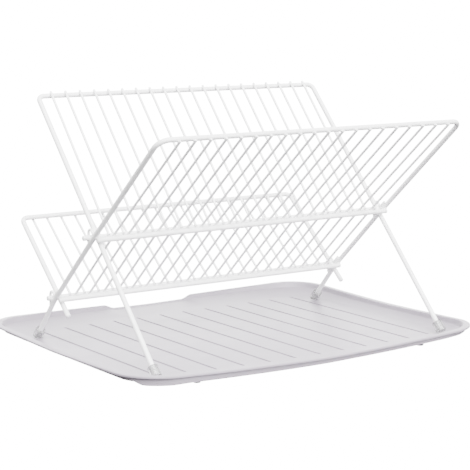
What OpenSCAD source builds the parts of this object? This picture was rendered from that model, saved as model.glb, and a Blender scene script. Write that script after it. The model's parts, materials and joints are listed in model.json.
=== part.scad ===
// Folding dish drying rack standing in a drip tray.
// Two leaning wire frames cross like an X on a long pivot bar, and a third, shorter
// frame turns on a second pivot bar lower down.  Millimetres; +X along the rack,
// +Y to the back, +Z up, Z = 0 under the rubber feet of the tray.

/* [Wire] */
// diameter of the frame rods and of the cross bars
rod_d = 6; // [4:0.1:8]
// diameter of the straight wires and of the pivot eyes
wire_d = 3; // [2:0.1:4]
// number of wires in each wire field
wire_n = 20; // [8:2:28]
// distance between two wires
wire_pitch = 20; // [14:0.5:24]
// sink of a welded wire into the bar it crosses
weld = 0.05; // [0:0.01:0.3]

/* [Main frame] */
// half the width of the main frame, measured to the rod centres
main_half = 213.6; // [150:0.1:260]
// back-to-front place of the top bar
main_top_y = -181.9; // [-220:0.1:-140]
// height of the top bar
main_top_z = 272.5; // [200:0.1:340]
// back-to-front place of the rods beside the upper pivot
main_mid_y = -31.0; // [-60:0.1:0]
// height of the rods beside the upper pivot
main_mid_z = 145.7; // [110:0.1:180]
// back-to-front place of the rods beside the lower pivot
main_low_y = 66.6; // [40:0.1:90]
// height of the rods beside the lower pivot
main_low_z = 59.6; // [40:0.1:90]
// lean of the legs below the lower pivot
main_leg_lean = 47.99; // [40:0.01:60]
// inside-to-centre radius of the two top corners
main_corner = 14; // [8:0.5:30]
// centre height of the rod ends inside the rear feet
main_end_z = 9.6; // [8:0.1:14]
// distance of the upper cross bar above the upper bend, along the rods
stop_rise = 9.6; // [8:0.1:14]
// distance of the lower cross bar above the lower bend, along the rods
low_stop_rise = 10.5; // [8:0.1:14]

/* [Rear frame] */
// half the width of the rear frame, measured to the rod centres
rear_half = 206.8; // [150:0.1:250]
// lean of the rear frame
rear_tilt = 47.17; // [35:0.01:60]
// distance from the upper pivot to the top bar, along the rods
rear_up = 206.7; // [150:0.1:240]
// distance from the upper pivot to the rod ends, along the rods
rear_down = 191.6; // [150:0.1:220]
// back-to-front place of the upper pivot
pivot1_y = -24.3; // [-50:0.05:0]
// height of the upper pivot
pivot1_z = 148.2; // [120:0.05:180]
// corner radius of the two smaller frames
small_corner = 8; // [6:0.5:16]

/* [Lower frame] */
// half the width of the lower frame, measured to the rod centres
lower_half = 207.2; // [150:0.1:250]
// lean of the lower frame
lower_tilt = 41.24; // [30:0.01:55]
// distance from the lower pivot to the top bar, along the rods
lower_up = 124.8; // [90:0.1:128]
// distance from the lower pivot to the stub ends, along the rods
lower_down = 34.6; // [10:0.1:60]
// back-to-front place of the lower pivot
pivot2_y = 73.28; // [50:0.05:100]
// height of the lower pivot
pivot2_z = 61.97; // [45:0.05:80]

/* [Pivots] */
// half the length of the upper pivot bar
pivot1_half = 221.5; // [216:0.1:240]
// half the length of the lower pivot bar
pivot2_half = 219; // [216:0.1:240]
// half the length of the two cross bars of the main frame
stop_half = 213; // [205:0.1:225]
// clearance between a pivot bar and its eyes
eye_gap = 0.05; // [0.01:0.01:0.1]
// distance of the round end of an eye from the rod
eye_reach = 10.5; // [8:0.1:14]
// length of the eye tail welded along the rod
eye_tail = 18; // [8:0.5:24]

/* [Feet] */
// outside diameter of a foot cap
cap_d = 12.6; // [9:0.1:16]
// length of a foot cap along the leg
cap_len = 13.8; // [8:0.1:20]
// height of the flat under the rear caps
rear_cap_z = 6.05; // [5:0.01:10]
// height of the flat under the front caps
front_cap_z = 8.3; // [5:0.01:12]

/* [Tray] */
// half the length of the tray
tray_a = 251.2; // [200:0.1:300]
// half the width of the tray at its short sides
tray_b = 193.1; // [150:0.1:240]
// bow of the long sides
tray_bow = 13.3; // [0:0.1:25]
// corner radius of the tray
tray_r = 49.4; // [20:0.1:80]
// height of the floor of the tray
floor_z = 6; // [3:0.1:12]
// sheet thickness of the tray
tray_t = 2.5; // [1.5:0.1:4]
// height of the rim above the floor at the corners
rim_corner = 13.4; // [8:0.1:25]
// height of the rim above the floor in the middle of the long sides
rim_long = 7.9; // [4:0.1:25]
// height of the rim above the floor in the middle of the short sides
rim_short = 9.4; // [4:0.1:25]
// width of the sloping border along the long sides
cove_long = 50; // [20:0.5:70]
// width of the sloping border along the short sides
cove_short = 30; // [15:0.5:60]
// height of the skirt under the rim
skirt = 7.2; // [4:0.1:12]
// how much shallower the skirt is along the short sides
skirt_short = 2.7; // [0:0.1:4]
// how much deeper the skirt is at the left front corner
skirt_corner = 3.6; // [0:0.1:5]
// share of the rim's height that is its steep inner wall
wall_share = 0.42; // [0.1:0.01:0.7]
// half the width of the pouring lip at the back
spout_half = 63; // [20:1:120]
// drop of the rim at the pouring lip
spout_drop = 5; // [0:0.1:6]
// number of drain grooves
groove_n = 12; // [4:1:20]
// distance between two drain grooves
groove_pitch = 35.4; // [20:0.1:50]
// width of a drain groove
groove_w = 3; // [1:0.1:4]
// depth of a drain groove
groove_h = 1.2; // [0.4:0.1:1.5]
// back end of the drain grooves
groove_back = 145; // [100:1:160]
// distance of the rubber feet from the middle, along the tray
pad_x = 162; // [100:1:220]
// distance of the rubber feet from the middle, across the tray
pad_y = 172; // [100:1:190]
// diameter of a rubber foot
pad_d = 9; // [6:0.5:16]
// height of a rubber foot
pad_h = 2.6; // [1:0.1:5]
// height of the top of the moulded boss over a rubber foot
boss_top = 7.6; // [6:0.1:10]

/* [Hidden] */
$fn = 64;
rod_r = rod_d / 2;
wire_r = wire_d / 2;
touch = rod_r + wire_r - weld;
main_up_tilt = atan2(main_top_z - main_mid_z, main_top_y - main_mid_y);
main_down_tilt = atan2(main_mid_z - main_low_z, main_mid_y - main_low_y);
main_up_len = norm([main_top_y - main_mid_y, main_top_z - main_mid_z]);
main_leg_tilt = 180 - main_leg_lean;
main_leg_len = (main_low_z - main_end_z) / sin(main_leg_lean);
main_mid = [main_mid_y, main_mid_z];
main_low = [main_low_y, main_low_z];
main_foot = main_low + turned([-main_leg_len, 0], main_leg_tilt);
low_bend = 40;
mid_bend = 150;
knee_bend = 30;
eye_half = rod_r + wire_r + eye_gap;
eye_bend = 2;
lift = rod_d - weld;
wire_back = rod_d - touch;
wire_heel = main_low + turned([low_stop_rise - 1.4, wire_back], main_down_tilt);
wire_knee = main_mid + turned([stop_rise, wire_back], main_up_tilt);
wire_head = main_mid + turned([main_up_len + 2.4, touch], main_up_tilt);
wire_low_tilt = angle_of(wire_knee - wire_heel);
wire_up_tilt = angle_of(wire_head - wire_knee);
tray_q = [4, 8, 18];
tray_k = 4 * (tray_q[0] + tray_q[1] + tray_q[2]);

white = [0.94, 0.94, 0.93];
clear = [0.86, 0.86, 0.85];
tray_white = [0.87, 0.86, 0.88];
rubber = [0.16, 0.16, 0.17];

// -- helpers ------------------------------------------------------------------

// Local +Y runs along a rod that rises at "tilt" in the YZ plane from [y, z].
module lean(y, z, tilt)
    translate([0, y, z])
    rotate([tilt, 0, 0])
        children();

// Bar along X through local [y, z].
module bar(half, y, z, d)
    translate([-half, y, z])
    rotate([0, 90, 0])
        cylinder(d = d, h = 2 * half);

// Round rod along local +Y from y0 to y1.
module run(x, y0, y1, z, d)
    translate([x, y0, z])
    rotate([-90, 0, 0])
        cylinder(d = d, h = y1 - y0);

// Top bar with its two rounded corners, bar centre at local y = top.
module hoop(half, top, corner) {
    bar(half - corner, top, 0, rod_d);
    for (s = [0, 1])
        mirror([s, 0, 0])
        translate([half - corner, top - corner, 0])
        rotate_extrude(angle = 90)
        translate([corner, 0, 0])
            circle(d = rod_d);
}

// Straight wire between two local points [y, z].
module wire(x, from, to) {
    run_y = to[0] - from[0];
    run_z = to[1] - from[1];
    translate([x, from[0], from[1]])
    rotate([atan2(run_z, run_y) - 90, 0, 0])
        cylinder(d = wire_d, h = norm([run_y, run_z]));
}

function wire_x(i) = (i - (wire_n - 1) / 2) * wire_pitch;
function turned(p, a) = [p[0] * cos(a) - p[1] * sin(a), p[0] * sin(a) + p[1] * cos(a)];
function angle_of(v) = atan2(v[1], v[0]);

// -- bent rods --------------------------------------------------------------------

// A bent rod is a list of stations [x, y, z, tilt, swing].  Its direction there rises at
// "tilt" in the YZ plane and is swung by "swing" towards +X.
function along(t) = [cos(t), sin(t)];
function across(t) = [-sin(t), cos(t)];

function bend_stations(x, corner, from, to, radius, steps) =
    let (start = corner - radius * tan((to - from) / 2) * along(from))
    let (centre = start + radius * across(from))
    [for (i = [0 : steps])
        let (t = from + (to - from) * i / steps, p = centre - radius * across(t))
        [x, p[0], p[1], t, 0]];

function rod_ring(st, radius, sides) =
    let (n = [0, -sin(st[3]), cos(st[3])])
    let (dir = [sin(st[4]), cos(st[4]) * cos(st[3]), cos(st[4]) * sin(st[3])])
    let (side = cross(dir, n))
    [for (k = [0 : sides - 1])
        [st[0], st[1], st[2]] + radius * (cos(360 * k / sides) * n + sin(360 * k / sides) * side)];

module bent_rod(stations, radius, sides) {
    last = len(stations) - 1;
    points = [for (st = stations) for (p = rod_ring(st, radius, sides)) p];
    near = [for (i = [0 : last - 1]) for (k = [0 : sides - 1])
        [i * sides + k, (i + 1) * sides + k, (i + 1) * sides + (k + 1) % sides]];
    far = [for (i = [0 : last - 1]) for (k = [0 : sides - 1])
        [i * sides + k, (i + 1) * sides + (k + 1) % sides, i * sides + (k + 1) % sides]];
    first = [for (k = [0 : sides - 1]) k];
    end = [for (k = [0 : sides - 1]) last * sides + sides - 1 - k];
    polyhedron(points = points, faces = concat([first], [end], near, far), convexity = 8);
}

// -- main frame -----------------------------------------------------------------

// Left side from the foot up to the corner; the right side is its mirror image.
main_left = concat(
    [[-main_half, main_foot[0], main_foot[1], main_leg_tilt, 0]],
    bend_stations(-main_half, main_low, main_leg_tilt, main_down_tilt, low_bend, 4),
    bend_stations(-main_half, main_mid, main_down_tilt, main_up_tilt, mid_bend, 2)
);

function main_corner_station(side, w) =
    let (d = main_up_len - main_corner + main_corner * sin(w))
    let (p = main_mid + d * along(main_up_tilt))
    [side * (main_half - main_corner) - main_corner * cos(w), p[0], p[1], main_up_tilt, w];

main_hoop = concat(
    [for (w = [0 : 7.5 : 90]) main_corner_station(-1, w)],
    [for (w = [90 : 7.5 : 180]) main_corner_station(1, w)]
);

main_right = [for (i = [len(main_left) - 1 : -1 : 0])
    let (st = main_left[i]) [-st[0], st[1], st[2], st[3], 180]];

module main_frame_rod()
    color(white)
        bent_rod(concat(main_left, main_hoop, main_right), rod_r, 32);

// The wires lie over the top bar, turn a little at the upper cross bar and run behind both
// cross bars.
module main_frame_wires()
    color(white)
    for (i = [0 : wire_n - 1])
        main_wire(wire_x(i));

module main_wire(x)
    bent_rod(concat(
        [[x, wire_heel[0], wire_heel[1], wire_low_tilt, 0]],
        bend_stations(x, wire_knee, wire_low_tilt, wire_up_tilt, knee_bend, 2),
        [[x, wire_head[0], wire_head[1], wire_up_tilt, 0]]
    ), wire_r, 20);

module main_upper_stop_bar()
    color(white)
    lean(main_mid_y, main_mid_z, main_up_tilt)
        bar(stop_half, stop_rise, lift, rod_d);

module main_lower_stop_bar()
    color(white)
    lean(main_low_y, main_low_z, main_down_tilt)
        bar(stop_half, low_stop_rise, lift, rod_d);

// -- pivot eyes -----------------------------------------------------------------

// Bent wire loop behind a rod.  The origin lies on the rod centre line level with the
// pivot, +Y runs up the rod and -Z points away from the rod.
module eye_loop() {
    translate([0, -eye_half, -eye_reach])
        cylinder(d = wire_d, h = eye_reach + 0.9);
    translate([0, 0, -eye_reach])
    rotate([90, 0, 90])
    rotate([0, 0, 180])
    rotate_extrude(angle = 180)
    translate([eye_half, 0, 0])
        circle(d = wire_d);
    translate([0, eye_half, -eye_reach])
        cylinder(d = wire_d, h = eye_reach - touch - eye_bend);
    translate([0, eye_half + eye_bend, -touch - eye_bend])
    rotate([90, 0, 90])
    rotate([0, 0, 90])
    rotate_extrude(angle = 90)
    translate([eye_bend, 0, 0])
        circle(d = wire_d);
    run(0, eye_half + eye_bend, eye_tail, -touch, wire_d);
}

// Eye on the rod at x for a pivot at [y, z]; the tail follows the rod above the bend, and the
// other end meets the rod below it.
module eye(x, corner, tilt, tilt_below, pivot)
    color(white)
    difference() {
        lean(corner[0], corner[1], tilt)
        translate([x, turned(pivot - corner, -tilt)[0], 0])
            eye_loop();
        lean(corner[0], corner[1], tilt)
            run(x, 1.5, 40, 0, rod_d);
        lean(corner[0], corner[1], tilt_below)
            run(x, -40, -1.5, 0, rod_d);
    }

module upper_eye(x)
    eye(x, main_mid, main_up_tilt, main_down_tilt, [pivot1_y, pivot1_z]);

module lower_eye(x)
    eye(x, main_low, main_down_tilt, main_leg_tilt, [pivot2_y, pivot2_z]);

module upper_eye_left()
    upper_eye(-main_half);

module upper_eye_right()
    upper_eye(main_half);

module lower_eye_left()
    lower_eye(-main_half);

module lower_eye_right()
    lower_eye(main_half);

// -- foot caps --------------------------------------------------------------------

// Soft cap on a rod end; the origin is the centre of the rod end, +Y runs up the leg.
module cap() {
    base = 2.4;
    edge = 0.8;
    cap_r = cap_d / 2;
    bore = rod_r + 0.02;
    rotate([-90, 0, 0])
    rotate_extrude()
        polygon([
            [0, -base], [cap_r - edge, -base], [cap_r, edge - base],
            [cap_r, cap_len - base - edge], [cap_r - edge, cap_len - base],
            [bore, cap_len - base], [bore, 0], [0, 0]
        ]);
}

// Everything of a cap below the flat is gone.
module below(x, y, z)
    translate([x - 20, y - 30, z - 30])
        cube([40, 60, 30]);

module rear_foot_cap(x)
    color(clear)
    difference() {
        lean(main_low_y, main_low_z, main_leg_tilt)
        translate([x, -main_leg_len, 0])
            cap();
        below(x, main_low_y + main_leg_len * cos(main_leg_lean), rear_cap_z);
    }

module front_foot_cap(x)
    color(clear)
    difference() {
        lean(pivot1_y, pivot1_z, rear_tilt)
        translate([x, -rear_down, lift])
            cap();
        below(x, pivot1_y - rear_down * cos(rear_tilt), front_cap_z);
    }

module rear_foot_cap_left()
    rear_foot_cap(-main_half);

module rear_foot_cap_right()
    rear_foot_cap(main_half);

module front_foot_cap_left()
    front_foot_cap(-rear_half);

module front_foot_cap_right()
    front_foot_cap(rear_half);

// -- rear frame -------------------------------------------------------------------

// Hoop with two straight legs, lying on the upper front side of its pivot bar.
module swing_rod(half, up, down)
    color(white)
    translate([0, 0, lift]) {
        hoop(half, up, small_corner);
        for (s = [-1, 1])
            run(s * half, -down, up - small_corner, 0, rod_d);
    }

module rear_frame_rod()
    lean(pivot1_y, pivot1_z, rear_tilt)
        swing_rod(rear_half, rear_up, rear_down);

// The wires rise from the pivot bar and lie over the top bar.
module rear_frame_wires()
    color(white)
    lean(pivot1_y, pivot1_z, rear_tilt)
    for (i = [0 : wire_n - 1])
        wire(wire_x(i), [-1.2, touch], [rear_up + 2.4, lift + touch + 0.05]);

module rear_frame_pivot_bar()
    color(white)
        bar(pivot1_half, pivot1_y, pivot1_z, rod_d);

// -- lower frame ------------------------------------------------------------------

module lower_frame_rod()
    lean(pivot2_y, pivot2_z, lower_tilt)
        swing_rod(lower_half, lower_up, lower_down);

// The wires rise from the pivot bar and end under the top bar.
module lower_frame_wires()
    color(white)
    lean(pivot2_y, pivot2_z, lower_tilt)
    for (i = [0 : wire_n - 1])
        wire(wire_x(i), [-1.2, touch], [lower_up + 1.6, lift - touch]);

module lower_frame_pivot_bar()
    color(white)
        bar(pivot2_half, pivot2_y, pivot2_z, rod_d);

// -- tray -------------------------------------------------------------------------

// One quarter of a rounded rectangle, step j from the middle of the short side to the
// middle of the long side.
function quarter(j, a, b, r) =
    j <= tray_q[0] ? [a, (b - r) * j / tray_q[0]] :
    j <= tray_q[0] + tray_q[1] ? corner_step((j - tray_q[0]) * 90 / tray_q[1], a, b, r) :
    [(a - r) * (1 - (j - tray_q[0] - tray_q[1]) / tray_q[2]), b];

function corner_step(t, a, b, r) = [a - r + r * cos(t), b - r + r * sin(t)];

// Step k round the whole outline, counter-clockwise seen from above.
function outline(k, a, b, r) =
    let (q = floor(k / (tray_k / 4)), m = k % (tray_k / 4))
    let (p = quarter(q % 2 == 0 ? m : tray_k / 4 - m, a, b, r))
    bowed([(q == 1 || q == 2 ? -1 : 1) * p[0], (q >= 2 ? -1 : 1) * p[1]]);

// The long sides bow outwards.
function bowed(p) = [p[0], p[1] * (1 + tray_bow / tray_b * (1 - pow(p[0] / tray_a, 2)))];

function outer_pt(k) = outline(k, tray_a, tray_b, tray_r);
function inner_pt(k) = outline(k, tray_a - cove_short, tray_b - cove_long, 22);
function ramp(v) = let (t = min(1, max(0, v))) t * t * (3 - 2 * t);

// The rim is highest at the corners and drops at the pouring lip.
function side_u(p) = pow(min(1, abs(p[0]) / tray_a), 1.4);
function side_w(p) = pow(min(1, abs(p[1]) / tray_b), 1.4);
function even_rim(p) =
    floor_z + rim_corner - (rim_corner - rim_long) * (1 - side_u(p))
    - (rim_corner - rim_short) * (1 - side_w(p));
function spout_dip(p) = p[1] < 0 ? 0 : spout_drop * ramp((spout_half + 6 - abs(p[0])) / 16);
function rim_z(p) = even_rim(p) - spout_dip(p);
function lip_w(p) = 3.5 + 5 * ramp((abs(p[0]) / tray_a - 0.55) / 0.3);
function wall_in(p) = 2 + 4.4 * ramp((abs(p[0]) / tray_a - 0.7) / 0.25);

// Point of station k at distance s in from the edge.
function inset(k, s, z) =
    let (o = outer_pt(k), i = inner_pt(k), w = norm(o - i))
    [o[0] + (i[0] - o[0]) * s / w, o[1] + (i[1] - o[1]) * s / w, z];

// Point of the sloping border at fraction f of the way up from the floor.
function cove(k, f, drop) =
    let (o = outer_pt(k), w = norm(o - inner_pt(k)), l = lip_w(o))
    inset(k, w - f * (w - l), floor_z + (rim_z(o) - floor_z) * climb(f) - drop);

// A gentle slope, then the steep wall just inside the lip.
function climb(f) = (1 - wall_share) * pow(f, 1.7) + (f > 0.95 ? wall_share : 0);

// Height of the skirt under the edge at p; it is deepest at the left front corner.
function skirt_at(p) =
    let (along = p[0] / tray_a, short = ramp((abs(along) - 0.935) / 0.055))
    let (front = p[1] > 0 ? 0 :
        min(1, max(0, 0.12 - along)) * skirt_corner * 0.75
        + ramp((-along - 0.72) / 0.12) * skirt_corner * 0.25)
    skirt + front * (1 - short) - skirt_short * short;

function tray_ring(n) = [for (k = [0 : tray_k - 1]) tray_pt(n, k)];

function tray_pt(n, k) =
    let (o = outer_pt(k), top = rim_z(o), wall = wall_in(o), thick = 2.4)
    let (low = min(even_rim(o) - skirt_at(o), top - thick - 1))
    n <= 8 ? cove(k, n / 8, 0) :
    n == 9 ? inset(k, 0.8, top) :
    n == 10 ? inset(k, 0, top - 0.8) :
    n == 11 ? inset(k, 0, top - thick) :
    n == 12 ? inset(k, wall, top - thick) :
    n == 13 ? inset(k, wall, low) :
    n == 14 ? inset(k, wall + 2, low) :
    n == 15 ? inset(k, wall + 2, top - thick - 0.4) :
    cove(k, (23 - n) / 8, tray_t);

module tray_shell() {
    k = tray_k;
    rings = [for (n = [0 : 23]) tray_ring(n)];
    points = [for (r = rings) for (p = r) p];
    start = tray_q[0] + tray_q[1] / 2;
    top = [for (j = [0 : k - 1]) (start + k - j) % k];
    under = [for (j = [0 : k - 1]) 23 * k + (start + j) % k];
    first = [for (n = [0 : 22]) for (j = [0 : k - 1])
        [n * k + j, n * k + (j + 1) % k, (n + 1) * k + (j + 1) % k]];
    second = [for (n = [0 : 22]) for (j = [0 : k - 1])
        [n * k + j, (n + 1) * k + (j + 1) % k, (n + 1) * k + j]];
    polyhedron(points = points, faces = concat([top], [under], first, second), convexity = 6);
}

// The grooves end where the border of the floor begins.
function groove_front(x) =
    (tray_b - cove_long) * (1 + tray_bow / tray_b * (1 - pow(x / tray_a, 2))) - groove_w - 0.5;

module groove(x) {
    front = -groove_front(x);
    back = groove_back;
    translate([x - groove_w / 2, front, floor_z - groove_h])
        cube([groove_w, back - front, 5]);
    for (y = [front, back])
        translate([x, y, floor_z - groove_h])
            cylinder(d = groove_w, h = 5, $fn = 24);
}

module tray()
    color(tray_white) {
        difference() {
            tray_shell();
            for (i = [0 : groove_n - 1])
                groove((i - (groove_n - 1) / 2) * groove_pitch);
        }
        for (x = [-pad_x, pad_x], y = [-pad_y, pad_y])
            translate([x, y, pad_h])
                cylinder(d = pad_d - 1, h = boss_top - pad_h);
    }

// Rubber foot under a moulded boss of the tray.
module tray_pad(x, y)
    color(rubber)
    translate([x, y, 0])
    rotate_extrude()
        polygon([
            [0, 0], [pad_d / 2 - 0.6, 0], [pad_d / 2, 0.6], [pad_d / 2, pad_h], [0, pad_h]
        ]);

module tray_pad_front_left()
    tray_pad(-pad_x, -pad_y);

module tray_pad_front_right()
    tray_pad(pad_x, -pad_y);

module tray_pad_rear_left()
    tray_pad(-pad_x, pad_y);

module tray_pad_rear_right()
    tray_pad(pad_x, pad_y);

tray();
tray_pad_front_left();
tray_pad_front_right();
tray_pad_rear_left();
tray_pad_rear_right();
main_frame_rod();
main_frame_wires();
main_upper_stop_bar();
main_lower_stop_bar();
upper_eye_left();
upper_eye_right();
lower_eye_left();
lower_eye_right();
rear_foot_cap_left();
rear_foot_cap_right();
rear_frame_rod();
rear_frame_wires();
rear_frame_pivot_bar();
front_foot_cap_left();
front_foot_cap_right();
lower_frame_rod();
lower_frame_wires();
lower_frame_pivot_bar();
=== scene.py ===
import json
import math

import bmesh
import bpy
from mathutils import Matrix, Vector
from mathutils.bvhtree import BVHTree


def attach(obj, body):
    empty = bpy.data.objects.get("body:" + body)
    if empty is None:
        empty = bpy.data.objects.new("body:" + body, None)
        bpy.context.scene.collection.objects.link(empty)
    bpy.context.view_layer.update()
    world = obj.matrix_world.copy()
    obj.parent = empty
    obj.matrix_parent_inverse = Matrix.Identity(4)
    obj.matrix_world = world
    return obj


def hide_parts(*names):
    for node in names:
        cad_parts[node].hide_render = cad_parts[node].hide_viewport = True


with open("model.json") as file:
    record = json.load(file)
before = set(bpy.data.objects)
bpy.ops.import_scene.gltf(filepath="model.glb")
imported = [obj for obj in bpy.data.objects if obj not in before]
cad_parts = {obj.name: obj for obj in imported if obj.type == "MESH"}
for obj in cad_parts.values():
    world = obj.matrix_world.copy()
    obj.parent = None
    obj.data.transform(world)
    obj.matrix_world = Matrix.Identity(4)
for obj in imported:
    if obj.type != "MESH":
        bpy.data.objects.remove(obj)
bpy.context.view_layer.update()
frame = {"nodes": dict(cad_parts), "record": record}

MM = 0.001
NODES = frame["nodes"]


# -- camera ---------------------------------------------------------------------

CAMERA_PLACE = Vector((-1.07089, -1.59826, 0.42610))
CAMERA_YAW = 33.961
CAMERA_PITCH = -8.769
CAMERA_ROLL = -0.213
CAMERA_LENS = 119.844


def aim(place, yaw, pitch, roll, lens):
    """Camera looking along yaw (from +Y towards +X) and pitch, turned by roll."""
    yaw, pitch, roll = (math.radians(a) for a in (yaw, pitch, roll))
    level = math.cos(pitch)
    forward = Vector((math.sin(yaw) * level, math.cos(yaw) * level, math.sin(pitch)))
    side = Vector((math.cos(yaw), -math.sin(yaw), 0))
    above = side.cross(forward)
    right = side * math.cos(roll) + above * math.sin(roll)
    up = above * math.cos(roll) - side * math.sin(roll)
    data = bpy.data.cameras.new("camera")
    data.sensor_width = 36
    data.lens = lens
    data.clip_end = 30
    camera = bpy.data.objects.new("camera", data)
    rows = [(right[i], up[i], -forward[i]) for i in range(3)]
    camera.matrix_world = Matrix.Translation(place) @ Matrix(rows).to_4x4()
    bpy.context.scene.collection.objects.link(camera)
    bpy.context.scene.camera = camera


aim(CAMERA_PLACE, CAMERA_YAW, CAMERA_PITCH, CAMERA_ROLL, CAMERA_LENS)


# -- materials --------------------------------------------------------------------

class Paint:
    """A Principled material whose colour, roughness and bump come from noise in object space."""

    def __init__(self, name, **fixed):
        self.mat = bpy.data.materials.new(name)
        self.mat.use_nodes = True
        self.tree = self.mat.node_tree
        self.tree.nodes.clear()
        self.shader = self.add("ShaderNodeBsdfPrincipled")
        out = self.add("ShaderNodeOutputMaterial")
        self.link(self.shader.outputs["BSDF"], out.inputs["Surface"])
        self.coords = self.add("ShaderNodeTexCoord").outputs["Object"]
        self.normal = None
        for socket, value in fixed.items():
            self.shader.inputs[socket.replace("_", " ")].default_value = value

    def add(self, kind, **settings):
        node = self.tree.nodes.new(kind)
        for key, value in settings.items():
            setattr(node, key, value)
        return node

    def link(self, a, b):
        self.tree.links.new(a, b)

    def noise(self, scale, detail=3.0, rough=0.5, stretch=(1, 1, 1)):
        mapping = self.add("ShaderNodeMapping")
        mapping.inputs["Scale"].default_value = stretch
        self.link(self.coords, mapping.inputs["Vector"])
        node = self.add("ShaderNodeTexNoise")
        node.inputs["Scale"].default_value = scale
        node.inputs["Detail"].default_value = detail
        node.inputs["Roughness"].default_value = rough
        self.link(mapping.outputs["Vector"], node.inputs["Vector"])
        return node.outputs["Fac"]

    def ramp(self, value, stops):
        """Colour ramp through stops of (place, colour), lowest place first."""
        node = self.add("ShaderNodeValToRGB")
        elements = node.color_ramp.elements
        for element, (place, colour) in zip(elements, (stops[0], stops[-1])):
            element.position = place
            element.color = (*colour, 1)
        for place, colour in stops[1:-1]:
            elements.new(place).color = (*colour, 1)
        self.link(value, node.inputs["Fac"])
        return node.outputs["Color"]

    def multiply(self, amount, a, b):
        node = self.add("ShaderNodeMix", data_type="RGBA", blend_type="MULTIPLY")
        factor, first, second = [s for s in node.inputs if s.enabled]
        factor.default_value = amount
        self.link(a, first)
        self.link(b, second)
        return [s for s in node.outputs if s.enabled][0]

    def colour(self, socket):
        self.link(socket, self.shader.inputs["Base Color"])

    def rough(self, value, low, high):
        node = self.add("ShaderNodeMapRange")
        node.inputs["To Min"].default_value = low
        node.inputs["To Max"].default_value = high
        self.link(value, node.inputs["Value"])
        self.link(node.outputs["Result"], self.shader.inputs["Roughness"])

    def bump(self, value, distance, strength):
        """Another layer of bumps, on top of those added before."""
        node = self.add("ShaderNodeBump")
        node.inputs["Distance"].default_value = distance
        node.inputs["Strength"].default_value = strength
        self.link(value, node.inputs["Height"])
        if self.normal is not None:
            self.link(self.normal, node.inputs["Normal"])
        self.normal = node.outputs["Normal"]
        self.link(self.normal, self.shader.inputs["Normal"])


def grey(value):
    return (value, value, value)


def coated_wire():
    """White dipped coating: faint orange peel, slightly uneven gloss, a few warm specks."""
    p = Paint("coated_wire", Coat_Weight=0.5, Coat_Roughness=0.2)
    broad = p.noise(38, 3, 0.55)
    fine = p.noise(420, 2, 0.5)
    base = p.ramp(broad, [(0.28, (0.87, 0.87, 0.865)), (0.5, grey(0.92)), (0.75, (0.94, 0.94, 0.945))])
    specks = p.ramp(p.noise(900, 1, 0.4), [(0.24, (0.80, 0.79, 0.77)), (0.33, grey(1))])
    p.colour(p.multiply(0.5, base, specks))
    p.rough(broad, 0.26, 0.44)
    p.bump(fine, 0.00012, 0.6)
    p.bump(p.noise(120, 2, 0.5), 0.0003, 0.35)
    return p.mat


def tray_plastic():
    """Moulded pale grey plastic: fine spark grain, soft mottling, faint scuffs along the tray."""
    p = Paint("tray_plastic", Specular_IOR_Level=0.42)
    broad = p.noise(7, 4, 0.55)
    grain = p.noise(1500, 2, 0.6)
    scuff = p.noise(60, 5, 0.7, (0.35, 1.0, 1.0))
    base = p.ramp(broad, [(0.3, (0.245, 0.217, 0.257)), (0.7, (0.268, 0.238, 0.281))])
    worn = p.ramp(scuff, [(0.62, grey(1)), (0.74, (0.955, 0.955, 0.96))])
    p.colour(p.multiply(0.7, base, worn))
    p.rough(scuff, 0.30, 0.46)
    p.bump(grain, 0.00008, 0.5)
    p.bump(p.noise(14, 2, 0.5), 0.0006, 0.15)
    return p.mat


def foot_cap():
    """Clear soft plastic, a little cloudy."""
    p = Paint("foot_cap", Transmission_Weight=0.88, IOR=1.47)
    cloud = p.noise(160, 3, 0.55)
    p.colour(p.ramp(cloud, [(0.3, grey(0.62)), (0.7, grey(0.76))]))
    p.rough(p.noise(500, 2, 0.5), 0.08, 0.24)
    p.bump(p.noise(700, 2, 0.5), 0.0001, 0.4)
    return p.mat


def pad_rubber():
    """Black rubber with a dusty bloom."""
    p = Paint("pad_rubber", Specular_IOR_Level=0.3)
    dust = p.noise(260, 4, 0.65)
    p.colour(p.ramp(dust, [(0.35, (0.016, 0.016, 0.018)), (0.75, (0.05, 0.05, 0.052))]))
    p.rough(dust, 0.62, 0.9)
    p.bump(p.noise(900, 2, 0.5), 0.0001, 0.7)
    return p.mat


MATERIALS = {make.__name__: make() for make in (coated_wire, tray_plastic, foot_cap, pad_rubber)}
SLOT_OF = {s["node"]: s["material_slot"] for s in frame["record"]["subparts"]}

for name, node in NODES.items():
    node.data.materials.clear()
    node.data.materials.append(MATERIALS[SLOT_OF[name]])


# -- mesh helpers -----------------------------------------------------------------

def place(name, bm, material, body, smooth=None):
    """Turn a bmesh into a piece that rides on a body."""
    mesh = bpy.data.meshes.new(name)
    bmesh.ops.recalc_face_normals(bm, faces=bm.faces)
    bm.to_mesh(mesh)
    bm.free()
    piece = bpy.data.objects.new(name, mesh)
    bpy.context.scene.collection.objects.link(piece)
    mesh.materials.append(MATERIALS[material])
    for face in mesh.polygons:
        face.use_smooth = True
    if smooth:
        mesh.set_sharp_from_angle(angle=math.radians(smooth))
    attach(piece, body)
    return piece


def tube(bm, rings):
    """Closed tube through rings that all have the same number of vertices."""
    for here, there in zip(rings, rings[1:]):
        for k in range(len(here)):
            m = (k + 1) % len(here)
            bm.faces.new((here[k], here[m], there[m], there[k]))
    bm.faces.new(rings[0])
    bm.faces.new(rings[-1][::-1])


def ease(v):
    t = min(1.0, max(0.0, v))
    return t * t * (3 - 2 * t)


def ramp(v, start, end):
    """Smooth step from 0 at start to 1 at end."""
    return ease((v - start) / (end - start))


# -- tray, in mm --------------------------------------------------------------------

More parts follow.
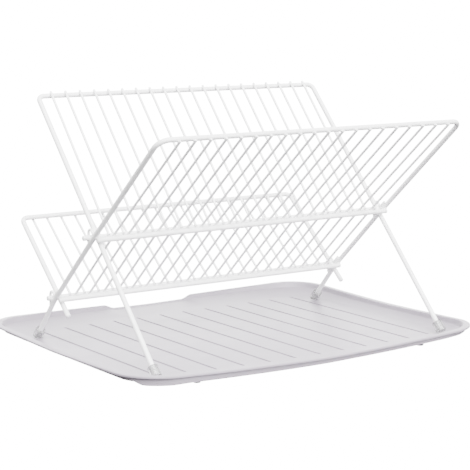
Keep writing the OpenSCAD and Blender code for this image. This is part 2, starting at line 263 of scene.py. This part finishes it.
# outline: half sizes, how far the long sides bow outwards, corner radii outside and inside the border
HALF_X = 251.2
HALF_Y = 193.1
BOW = 13.3
CORNER = 49.4
INNER_CORNER = 22
# steps along half a short side, round a corner, and along half a long side
STEPS = (10, 20, 60)
QUARTER = sum(STEPS)

# heights: the floor, and the rim above it at the corners and at the middle of the sides
FLOOR = 6.0
SHEET = 2.5
RISE_CORNER = 13.4
RISE_LONG = 7.9
RISE_SHORT = 9.4
SAG = 1.4
SPOUT_HALF = 63.0
SPOUT_SLOPE = 16
SPOUT_DROP = 5.0

# sloping border: its width, its curve, and the share of the rise in the steep wall inside the lip
BORDER_LONG = 50.0
BORDER_SHORT = 30.0
BORDER_CURVE = 1.7
WALL_FROM = 0.87
WALL_SHARE = 0.42
SLOPE = [i / 16 * 0.85 for i in range(17)] + [0.87, 0.89, 0.91, 0.93, 0.95, 0.97, 0.985, 1.0]
UNDERSIDE = (0.93, 0.88, 0.75, 0.6, 0.45, 0.3, 0.15, 0)

# lip: its width, edge radius and thickness
LIP_LONG = 3.5
LIP_SHORT = 8.5
LIP_ROUND = 0.9
LIP_THICK = 2.4

# skirt: its inset from the edge, its thickness, its chamfer and its depth below the level rim
INSET_LONG = 2
INSET_SHORT = 6.4
INSET_LESS = 0.75
SKIRT_THICK = 2
CHAMFER = 0.4
DEPTH = 7.2
DEPTH_LESS = 2.7
DEPTH_MORE = 3.6

# drain grooves: spacing, cutter radius and height, back end, and where each one ends at the front
GROOVE_PITCH = 35.4
GROOVE_R = 2.0
GROOVE_UP = 0.05
GROOVE_CLIMB = 1.3
GROOVE_BACK = 146
GROOVE_FRONTS = (132, 145, 155, 158, 160, 161.5, 162.5, 162, 160, 158, 156, 150)


def quarter_point(j, a, b, r):
    """Step j from the middle of the short side to the middle of the long side."""
    short, arc, long = STEPS
    if j <= short:
        return a, (b - r) * j / short
    if j <= short + arc:
        t = math.radians((j - short) * 90 / arc)
        return a - r + r * math.cos(t), b - r + r * math.sin(t)
    return (a - r) * (1 - (j - short - arc) / long), b


def outline(k, a, b, r):
    """Step k round the outline, counter-clockwise from above; the long sides bow outwards."""
    q, m = divmod(k, QUARTER)
    x, y = quarter_point(m if q % 2 == 0 else QUARTER - m, a, b, r)
    x *= -1 if q in (1, 2) else 1
    y *= -1 if q >= 2 else 1
    return Vector((x, y * (1 + BOW / HALF_Y * (1 - (x / HALF_X) ** 2))))


class Station:
    """One step round the tray: where its edge is, how high its rim, how wide its lip."""

    def __init__(self, k):
        self.outer = outline(k, HALF_X, HALF_Y, CORNER)
        self.inner = outline(k, HALF_X - BORDER_SHORT, HALF_Y - BORDER_LONG, INNER_CORNER)
        self.width = (self.outer - self.inner).length
        x, y = self.outer
        along = min(1, abs(x) / HALF_X)
        across = min(1, abs(y) / HALF_Y)
        self.level = FLOOR + RISE_CORNER
        self.level -= (RISE_CORNER - RISE_LONG) * (1 - along ** SAG)
        self.level -= (RISE_CORNER - RISE_SHORT) * (1 - across ** SAG)
        self.rim = self.level
        if y >= 0:
            self.rim -= SPOUT_DROP * ease((SPOUT_HALF + 6 - abs(x)) / SPOUT_SLOPE)
        self.lip = LIP_LONG + (LIP_SHORT - LIP_LONG) * ramp(along, 0.55, 0.85)

        # the skirt is inset more along the short sides, but less round the left front corner
        corner = ramp(-x / HALF_X, 0.6, 0.7) * ramp(-y, 70, 120)
        self.inset = INSET_LONG
        self.inset += (INSET_SHORT - INSET_LONG) * ramp(along, 0.7, 0.95) * (1 - INSET_LESS * corner)

        # it is shallower along the short sides, and along the front deeper towards the left corner
        short = ramp(along, 0.935, 0.99)
        deeper = 0
        if y <= 0:
            deeper = 0.75 * min(1, max(0, 0.12 - x / HALF_X)) + 0.25 * ramp(-x / HALF_X, 0.72, 0.84)
        self.depth = DEPTH + DEPTH_MORE * deeper * (1 - short) - DEPTH_LESS * short

    def at(self, inset, z):
        p = self.outer + (self.inner - self.outer) * (inset / self.width)
        return (p.x * MM, p.y * MM, z * MM)

    def border(self, f, drop=0.0):
        """Point of the sloping border, f of the way up from the floor, or of its underside."""
        climb = (1 - WALL_SHARE) * f ** BORDER_CURVE + WALL_SHARE * ramp(f, WALL_FROM, 1)
        z = FLOOR + (self.rim - FLOOR) * climb
        return self.at(self.width - f * (self.width - self.lip), z - drop)

    def edge(self):
        """Points over the lip, round its edge and back under it."""
        points = [self.at(self.lip - 0.3, self.rim + 0.02), self.at(self.lip - 1.2, self.rim + 0.05)]
        for t in (0, 22, 45, 68, 90):
            c, s = math.cos(math.radians(t)), math.sin(math.radians(t))
            points.append(self.at(LIP_ROUND * (1 - s), self.rim - LIP_ROUND * (1 - c)))
        under = self.rim - LIP_THICK
        return points + [self.at(0, under + 0.3), self.at(0.3, under), self.at(self.inset - 0.3, under)]

    def skirt(self):
        """Points down the outside of the skirt and up its inside."""
        low = min(self.level - self.depth, self.rim - LIP_THICK - 1)
        out, inside = self.inset, self.inset + SKIRT_THICK
        return [self.at(out, self.rim - LIP_THICK - 0.3), self.at(out, low + CHAMFER),
                self.at(out + CHAMFER, low), self.at(inside - CHAMFER, low),
                self.at(inside, low + CHAMFER), self.at(inside, self.rim - LIP_THICK - CHAMFER)]

    def section(self):
        """Points from the floor's edge outwards over the lip, down the skirt and back under."""
        top = [self.border(f) for f in SLOPE]
        return top + self.edge() + self.skirt() + [self.border(f, SHEET) for f in UNDERSIDE]


def tray_mesh():
    bm = bmesh.new()
    rings = [[bm.verts.new(p) for p in Station(k).section()] for k in range(4 * QUARTER)]
    for here, there in zip(rings, rings[1:] + rings[:1]):
        for a, b, c, d in zip(here, there, there[1:], here[1:]):
            bm.faces.new((a, b, c, d))
    bm.faces.new([r[0] for r in reversed(rings)])
    bm.faces.new([r[-1] for r in rings])
    bmesh.ops.recalc_face_normals(bm, faces=bm.faces)
    return bm


def groove_cutters(tray):
    """Rounded runners that follow the tray's surface, one for each drain groove."""
    tree = BVHTree.FromBMesh(tray)
    bm = bmesh.new()
    sides = 16
    for i, front in enumerate(GROOVE_FRONTS):
        x = (i - (len(GROOVE_FRONTS) - 1) / 2) * GROOVE_PITCH
        steps = [d - front for d in (0, 1, 2.5, 5, 8, 12, 17, 23, 30)] + [-60, 0, 60, 130]
        steps += [GROOVE_BACK - d for d in (6, 3, 1, 0)]
        rings = []
        for y in steps:
            end = min(y + front, GROOVE_BACK - y)
            r = GROOVE_R * (0.35 + 0.65 * min(1, end / 1.5) ** 0.5)
            surface = tree.ray_cast(Vector((x * MM, y * MM, 0.05)), Vector((0, 0, -1)))[0].z / MM
            z = surface + GROOVE_UP + GROOVE_CLIMB * max(0, 1 - end / 6) ** 2
            turns = [math.tau * (n + 0.5) / sides for n in range(sides)]
            rings.append([bm.verts.new(((x + r * math.cos(t)) * MM, y * MM, (z + r * math.sin(t)) * MM))
                          for t in turns])
        tube(bm, rings)
    bmesh.ops.recalc_face_normals(bm, faces=bm.faces)
    return bm


def carve(bm, cutters):
    """bm minus cutters, as a new bmesh."""
    pair = []
    for name, source in (("carved", bm), ("cutter", cutters)):
        mesh = bpy.data.meshes.new(name)
        source.to_mesh(mesh)
        source.free()
        obj = bpy.data.objects.new(name, mesh)
        bpy.context.scene.collection.objects.link(obj)
        pair.append(obj)
    cut = pair[0].modifiers.new("cut", "BOOLEAN")
    cut.object = pair[1]
    cut.operation = "DIFFERENCE"
    cut.solver = "EXACT"
    graph = bpy.context.evaluated_depsgraph_get()
    result = bmesh.new()
    result.from_mesh(pair[0].evaluated_get(graph).to_mesh())
    for obj in pair:
        bpy.data.objects.remove(obj)
    return result


def tray_piece():
    shell = tray_mesh()
    moulding = carve(shell, groove_cutters(shell))
    piece = place("tray_moulding", moulding, "tray_plastic", "tray", smooth=34)
    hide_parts("tray")


tray_piece()


# -- frames, in mm: welds, dipped ends, eyes, foot caps ---------------------------------

# radii of rods and wires, and how deep two of them sink into each other where they are welded
ROD = 3.0
WIRE = 1.5
SINK = 0.05
TOUCH = ROD + WIRE - SINK
LIFT = 2 * ROD - SINK
WIRE_COUNT = 20
WIRE_PITCH = 20.0
WIRES = [(i - (WIRE_COUNT - 1) / 2) * WIRE_PITCH for i in range(WIRE_COUNT)]

# half widths between the side rods of each frame, and half lengths of the bars
MAIN_HALF = 213.6
REAR_HALF = 206.8
LOWER_HALF = 207.2
MAIN_BAR_HALF = 213
REAR_BAR_HALF = 221.5
LOWER_BAR_HALF = 219

# corners of the main frame's side rod as (y, z), and the slope of its rear leg
TOP = (-181.9, 272.5)
MID = (-31.0, 145.7)
LOW = (66.6, 59.6)
LEG_TILT = 47.99

# the other frames turn on their pivot bars: (y, z) and slope at rest
REAR_PIVOT = (-24.3, 148.2, 47.17)
LOWER_PIVOT = (73.28, 61.97, 41.24)

# places along the rods: cross bars above MID and LOW, top bars, stubs and feet
UPPER_BAR = 9.6
LOWER_BAR = 10.5
REAR_TOP = 206.7
LOWER_TOP = 124.8
STUB = -34.6
REAR_FOOT = -191.6
LEG_END_Z = 9.6


class Lean:
    """Local frame in the YZ plane: d runs up a rod that rises at tilt, n is square to it."""

    def __init__(self, y, z, tilt):
        self.y = y
        self.z = z
        self.tilt = math.radians(tilt)

    def at(self, x, d, n):
        c, s = math.cos(self.tilt), math.sin(self.tilt)
        return Vector((x, self.y + d * c - n * s, self.z + d * s + n * c)) * MM

    def turn(self):
        return Matrix.Rotation(self.tilt, 4, "X")


def tilt_of(low, high):
    return math.degrees(math.atan2(high[1] - low[1], high[0] - low[0]))


UP_LEN = math.dist(TOP, MID)
UPPER = Lean(*MID, tilt_of(MID, TOP))
LOWER = Lean(*LOW, tilt_of(LOW, MID))
LEG = Lean(*LOW, 180 - LEG_TILT)
LEG_LEN = (LOW[1] - LEG_END_Z) / math.sin(math.radians(LEG_TILT))
REAR = Lean(*REAR_PIVOT)
SHELF = Lean(*LOWER_PIVOT)


# -- welds and dipped ends -------------------------------------------------------------

# half sizes of the lumps: across the rod, up the rod, and standing off it
WIRE_WELD = (2.3, 2.0, 1.0)
WIRE_END = (WIRE, 0.9, WIRE)
BAR_WELD = (2.6, 3.4, 1.5)
PIVOT_WELD = (3.2, 3.2, 1.4)
EYE_WELD = (2.2, 2.6, 0.9)
TAIL_WELD = (1.7, 5.0, 0.9)
BAR_END = (0.9, ROD - 0.02, ROD - 0.02)
STUB_END = (ROD - 0.02, 1.2, ROD - 0.02)


def blobs(name, body, spots):
    """Small rounded lumps of coating: (rod, place, half sizes)."""
    bm = bmesh.new()
    for lean, (x, d, n), (rx, rd, rn) in spots:
        size = Matrix.Diagonal((rx * MM, rd * MM, rn * MM, 1))
        matrix = Matrix.Translation(lean.at(x, d, n)) @ lean.turn() @ size
        bmesh.ops.create_icosphere(bm, subdivisions=2, radius=1, matrix=matrix)
    place(name, bm, "coated_wire", body)


def bar_ends(half, lean, d, n):
    return [(lean, (s * half, d, n), BAR_END) for s in (-1, 1)]


# each eye: its rod, where its pivot bar lies along it, the eye's shift towards the middle,
# and the centre of its arch behind and above the pivot bar
EYES = {"upper": (UPPER, -3.52, 1.8, (0.1, 4.6)), "lower": (LOWER, -3.44, 1.3, (1.0, 2.8))}


def main_welds():
    spots = []
    for x in WIRES:
        spots.append((UPPER, (x, UP_LEN, ROD - 0.1), WIRE_WELD))
        spots.append((UPPER, (x, UPPER_BAR, ROD + 0.05), WIRE_WELD))
        spots.append((LOWER, (x, LOWER_BAR, ROD + 0.05), WIRE_WELD))
        spots.append((UPPER, (x, UP_LEN + 2.4, TOUCH), WIRE_END))
    for s in (-1, 1):
        spots.append((UPPER, (s * (MAIN_HALF - 1), UPPER_BAR, ROD), BAR_WELD))
        spots.append((LOWER, (s * (MAIN_HALF - 1), LOWER_BAR, ROD), BAR_WELD))
        for lean, pivot, inward, _ in EYES.values():
            spots.append((lean, (s * (MAIN_HALF - inward), pivot - 8.5, -2.3), EYE_WELD))
            spots.append((lean, (s * (MAIN_HALF - inward / 2), pivot + 14.0, -2.9), TAIL_WELD))
    spots += bar_ends(MAIN_BAR_HALF, UPPER, UPPER_BAR, LIFT)
    spots += bar_ends(MAIN_BAR_HALF, LOWER, LOWER_BAR, LIFT)
    blobs("main_frame_welds", "main_frame", spots)


def rear_welds():
    spots = []
    for x in WIRES:
        spots.append((REAR, (x, REAR_TOP, LIFT + ROD - 0.05), WIRE_WELD))
        spots.append((REAR, (x, 0, ROD - 0.05), WIRE_WELD))
        spots.append((REAR, (x, REAR_TOP + 2.4, LIFT + TOUCH + 0.05), WIRE_END))
    for s in (-1, 1):
        spots.append((REAR, (s * REAR_HALF, 0, ROD), PIVOT_WELD))
    spots += bar_ends(REAR_BAR_HALF, REAR, 0, 0)
    blobs("rear_frame_welds", "rear_frame", spots)


def lower_welds():
    spots = []
    for x in WIRES:
        spots.append((SHELF, (x, LOWER_TOP, LIFT - ROD + 0.05), WIRE_WELD))
        spots.append((SHELF, (x, 0, ROD - 0.05), WIRE_WELD))
        spots.append((SHELF, (x, LOWER_TOP + 1.6, LIFT - TOUCH), WIRE_END))
    for s in (-1, 1):
        spots.append((SHELF, (s * LOWER_HALF, 0, ROD), PIVOT_WELD))
        spots.append((SHELF, (s * LOWER_HALF, STUB, LIFT), STUB_END))
    spots += bar_ends(LOWER_BAR_HALF, SHELF, 0, 0)
    blobs("lower_frame_welds", "lower_frame", spots)


main_welds()
rear_welds()
lower_welds()


# -- eyes and foot caps ----------------------------------------------------------------

EYE_WIRE = 1.6
EYE_ARCH = 4.75
EYE_BEND = 2.5
EYE_END = 19.0
PIVOT_BEHIND = 6.2


def eye_path(tilt, over, tail):
    """Centre line of an eye as (place along the rod, distance behind it, direction, thickness).

    It rises upright from the rod, arches over the pivot bar, drops to the rod and runs along it.
    """
    c, s = math.cos(tilt), math.sin(tilt)
    mid_d = over[0] * c + over[1] * s
    mid_n = over[0] * s - over[1] * c + PIVOT_BEHIND
    up = math.degrees(tilt) - 90
    path = []
    for k in range(15):
        way = up - (90 + up) * k / 14
        a = math.radians(way)
        path.append((mid_d - EYE_ARCH * math.sin(a), mid_n + EYE_ARCH * math.cos(a), way, 1.0))
    root = 0.8
    first_d, first_n = path[0][:2]
    path.insert(0, (first_d - (first_n - root) / math.tan(math.radians(up)), root, up, 1.0))
    corner = mid_d + EYE_ARCH + EYE_BEND
    for way in range(-90, 0, 15):
        a = math.radians(way)
        path.append((corner + EYE_BEND * math.sin(a), tail + EYE_BEND - EYE_BEND * math.cos(a), way, 1.0))
    path += [(corner, tail, 0, 1.0), (EYE_END, tail, 0, 1.0)]
    for a in (30, 55, 75):
        a = math.radians(a)
        path.append((EYE_END + EYE_WIRE / 2 * math.sin(a), tail, 0, math.cos(a)))
    return path


def eye_piece(side, s, level):
    """Bent wire loop round a pivot bar, with its tail along the rod."""
    lean, pivot, inward, over = EYES[level]
    x = s * (MAIN_HALF - inward)
    tail = math.sqrt((ROD + EYE_WIRE) ** 2 - inward ** 2) - SINK
    bm = bmesh.new()
    rings = []
    for d, n, way, share in eye_path(lean.tilt, over, tail):
        c, v = math.cos(math.radians(way)), math.sin(math.radians(way))
        ring = []
        for t in (math.tau * k / 24 for k in range(24)):
            across, beside = EYE_WIRE * share * math.cos(t), EYE_WIRE * share * math.sin(t)
            ring.append(bm.verts.new(lean.at(x + across, pivot + d - v * beside, -n - c * beside)))
        rings.append(ring)
    tube(bm, rings)
    piece = place(f"{level}_eye_wire_{side}", bm, "coated_wire", "main_frame", smooth=50)
    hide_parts(f"{level}_eye_{side}")


CAP_R = 6.3
CAP_EDGE = 1.1
CAP_BASE = -2.4
CAP_TOP = 11.4
MAIN_CAP_FLAT = 6.05
REAR_CAP_FLAT = 8.3


def cap_profile():
    """Outside of a cap from the middle of its base, over its mouth and down its bore: (radius, height)."""
    profile = [(0.0, CAP_BASE), (CAP_R - CAP_EDGE, CAP_BASE)]
    for t in (math.radians(a) for a in (20, 45, 70, 90)):
        profile.append((CAP_R - CAP_EDGE * (1 - math.sin(t)), CAP_BASE + CAP_EDGE * (1 - math.cos(t))))
    profile += [(CAP_R, 2.0), (CAP_R - 0.05, 5.0), (CAP_R - 0.15, 8.0)]
    for t in (math.radians(a) for a in (0, 25, 50, 75, 90)):
        profile.append((CAP_R - 1.05 + 0.9 * math.cos(t), CAP_TOP - 0.9 * (1 - math.sin(t))))
    return profile + [(4.1, CAP_TOP), (3.4, 11.1), (3.08, 10.6), (3.04, 8.0), (3.04, 0.02), (0.0, 0.02)]


def foot(name, node, body, lean, x, d, n, flat):
    """Soft cap turned about the leg, with rounded edges and a flat where it stands."""
    bm = bmesh.new()
    count = 48
    rings = []
    for radius, h in cap_profile():
        ring = []
        for k in range(count if radius else 1):
            a = math.tau * k / count
            p = lean.at(x + radius * math.cos(a), d + h, n + radius * math.sin(a))
            ring.append(bm.verts.new((p.x, p.y, max(p.z, flat * MM))))
        rings.append(ring)
    for here, there in zip(rings, rings[1:]):
        for k in range(count):
            m = (k + 1) % count
            loop = [here[k % len(here)], here[m % len(here)], there[m % len(there)], there[k % len(there)]]
            loop = [v for i, v in enumerate(loop) if v not in loop[:i]]
            bm.faces.new(loop)
    piece = place(name, bm, "foot_cap", body, smooth=38)
    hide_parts(node)


for side, s in (("left", -1), ("right", 1)):
    for level in EYES:
        eye_piece(side, s, level)
    foot(f"rear_cap_{side}", f"rear_foot_cap_{side}", "main_frame", LEG,
         s * MAIN_HALF, -LEG_LEN, 0, MAIN_CAP_FLAT)
    foot(f"front_cap_{side}", f"front_foot_cap_{side}", "rear_frame", REAR,
         s * REAR_HALF, REAR_FOOT, LIFT, REAR_CAP_FLAT)


# -- floor and light ------------------------------------------------------------------

# strength of the white that the camera sees, of the floor as a light, and of the even sky
WHITE = 17.0
BOUNCE = 0.3
AMBIENT = 0.35
FLOOR_HALF = 40
# softboxes of the sky: direction, strength, how tight
SOFTBOXES = (
    ((-0.22, -0.55, 0.81), 27.5, 9.0),
    ((0.36, -0.87, 0.30), 18.0, 14.0),
    ((-0.62, 0.46, 0.62), 5.0, 9.0),
    ((0.56, 0.83, 0.15), 9.0, 5.0),
)


def node_tree(owner):
    """The owner's empty node tree."""
    owner.use_nodes = True
    owner.node_tree.nodes.clear()
    return owner.node_tree


def seen_or_lit(tree, seen, lit, out):
    """Pure white where the camera looks straight at it, a weaker light on everything else."""
    path = tree.nodes.new("ShaderNodeLightPath")
    mix = tree.nodes.new("ShaderNodeMixShader")
    tree.links.new(path.outputs["Is Camera Ray"], mix.inputs[0])
    tree.links.new(lit.outputs[0], mix.inputs[1])
    tree.links.new(seen.outputs[0], mix.inputs[2])
    tree.links.new(mix.outputs[0], out.inputs["Surface"])


def white_floor():
    """Seamless white floor that also throws a little light back up."""
    mesh = bpy.data.meshes.new("floor")
    corners = [(x * FLOOR_HALF, y * FLOOR_HALF, 0) for x, y in ((-1, -1), (1, -1), (1, 1), (-1, 1))]
    mesh.from_pydata(corners, [], [(0, 1, 2, 3)])
    floor = bpy.data.objects.new("floor", mesh)
    bpy.context.scene.collection.objects.link(floor)
    mat = bpy.data.materials.new("floor_white")
    tree = node_tree(mat)
    seen = tree.nodes.new("ShaderNodeEmission")
    seen.inputs["Strength"].default_value = WHITE
    lit = tree.nodes.new("ShaderNodeEmission")
    lit.inputs["Strength"].default_value = BOUNCE
    seen_or_lit(tree, seen, lit, tree.nodes.new("ShaderNodeOutputMaterial"))
    mesh.materials.append(mat)


def sky():
    """Even light with four soft boxes: overhead, front right, behind on the left, and the backdrop."""
    world = bpy.data.worlds.new("studio")
    tree = node_tree(world)
    coords = tree.nodes.new("ShaderNodeTexCoord")

    def maths(how, a, b):
        node = tree.nodes.new("ShaderNodeMath")
        node.operation = how
        tree.links.new(a, node.inputs[0])
        if isinstance(b, float):
            node.inputs[1].default_value = b
        else:
            tree.links.new(b, node.inputs[1])
        return node.outputs[0]

    def lobe(axis, strength, tight):
        dot = tree.nodes.new("ShaderNodeVectorMath")
        dot.operation = "DOT_PRODUCT"
        dot.inputs[1].default_value = Vector(axis).normalized()
        tree.links.new(coords.outputs["Generated"], dot.inputs[0])
        facing = maths("MAXIMUM", dot.outputs["Value"], 0.0)
        return maths("MULTIPLY", maths("POWER", facing, tight), strength)

    lobes = [lobe(*softbox) for softbox in SOFTBOXES]
    total = maths("ADD", lobes[0], AMBIENT)
    for more in lobes[1:]:
        total = maths("ADD", total, more)
    lit = tree.nodes.new("ShaderNodeBackground")
    tree.links.new(total, lit.inputs["Strength"])
    seen = tree.nodes.new("ShaderNodeBackground")
    seen.inputs["Strength"].default_value = WHITE
    for node in (lit, seen):
        node.inputs["Color"].default_value = (1, 1, 1, 1)
    seen_or_lit(tree, seen, lit, tree.nodes.new("ShaderNodeOutputWorld"))
    bpy.context.scene.world = world


white_floor()
sky()
